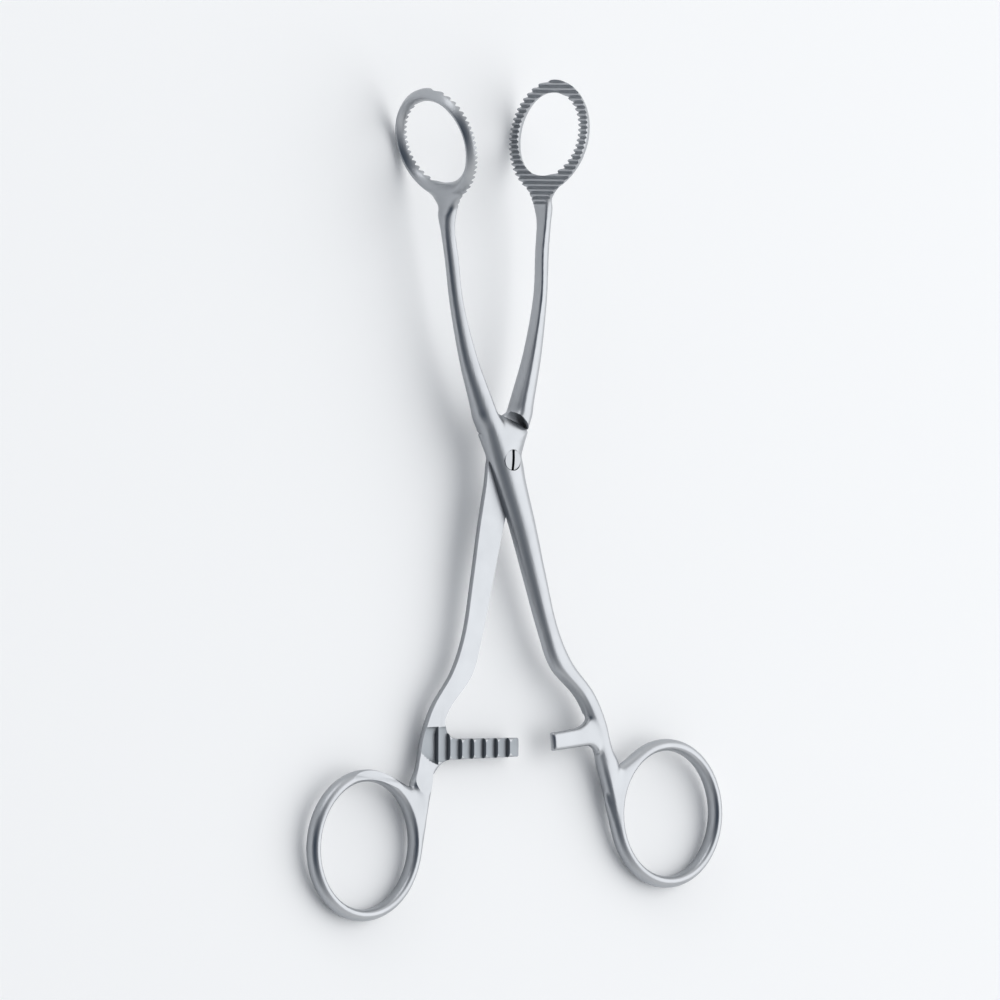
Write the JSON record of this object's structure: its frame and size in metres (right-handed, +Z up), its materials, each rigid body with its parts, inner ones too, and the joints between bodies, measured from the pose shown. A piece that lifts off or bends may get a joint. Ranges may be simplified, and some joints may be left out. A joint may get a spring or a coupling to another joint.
{
  "type": "tongue forceps",
  "caption": "Ring-jawed tongue forceps with serrated oval jaws, a screwed lap joint, bowed arms, a ratchet between the shanks and open finger rings.",
  "frame": {"origin": "centre of the footprint of the open forceps, on the surface that they lie on", "axes": "+Y from the finger rings to the jaws, +Z up from the surface, with the screw head up, +X across the way the jaws open"},
  "size_m": [0.1162, 0.1762, 0.0254],
  "materials": {
    "satin_steel": "satin, fine glass-bead blast",
    "screw_steel": "turned and polished"
  },
  "bodies": {
    "rear_body": {"rear_half": "satin_steel", "joint_screw": "screw_steel"},
    "front_body": {"front_half": "satin_steel"}
  },
  "joints": [
    {"name": "lap_hinge", "type": "hinge", "parent": "rear_body", "child": "front_body", "pos_m": [0, 0.00749, 0.00814], "axis": [0, 0.066, -0.9978], "range_deg": [0, 25]}
  ]
}
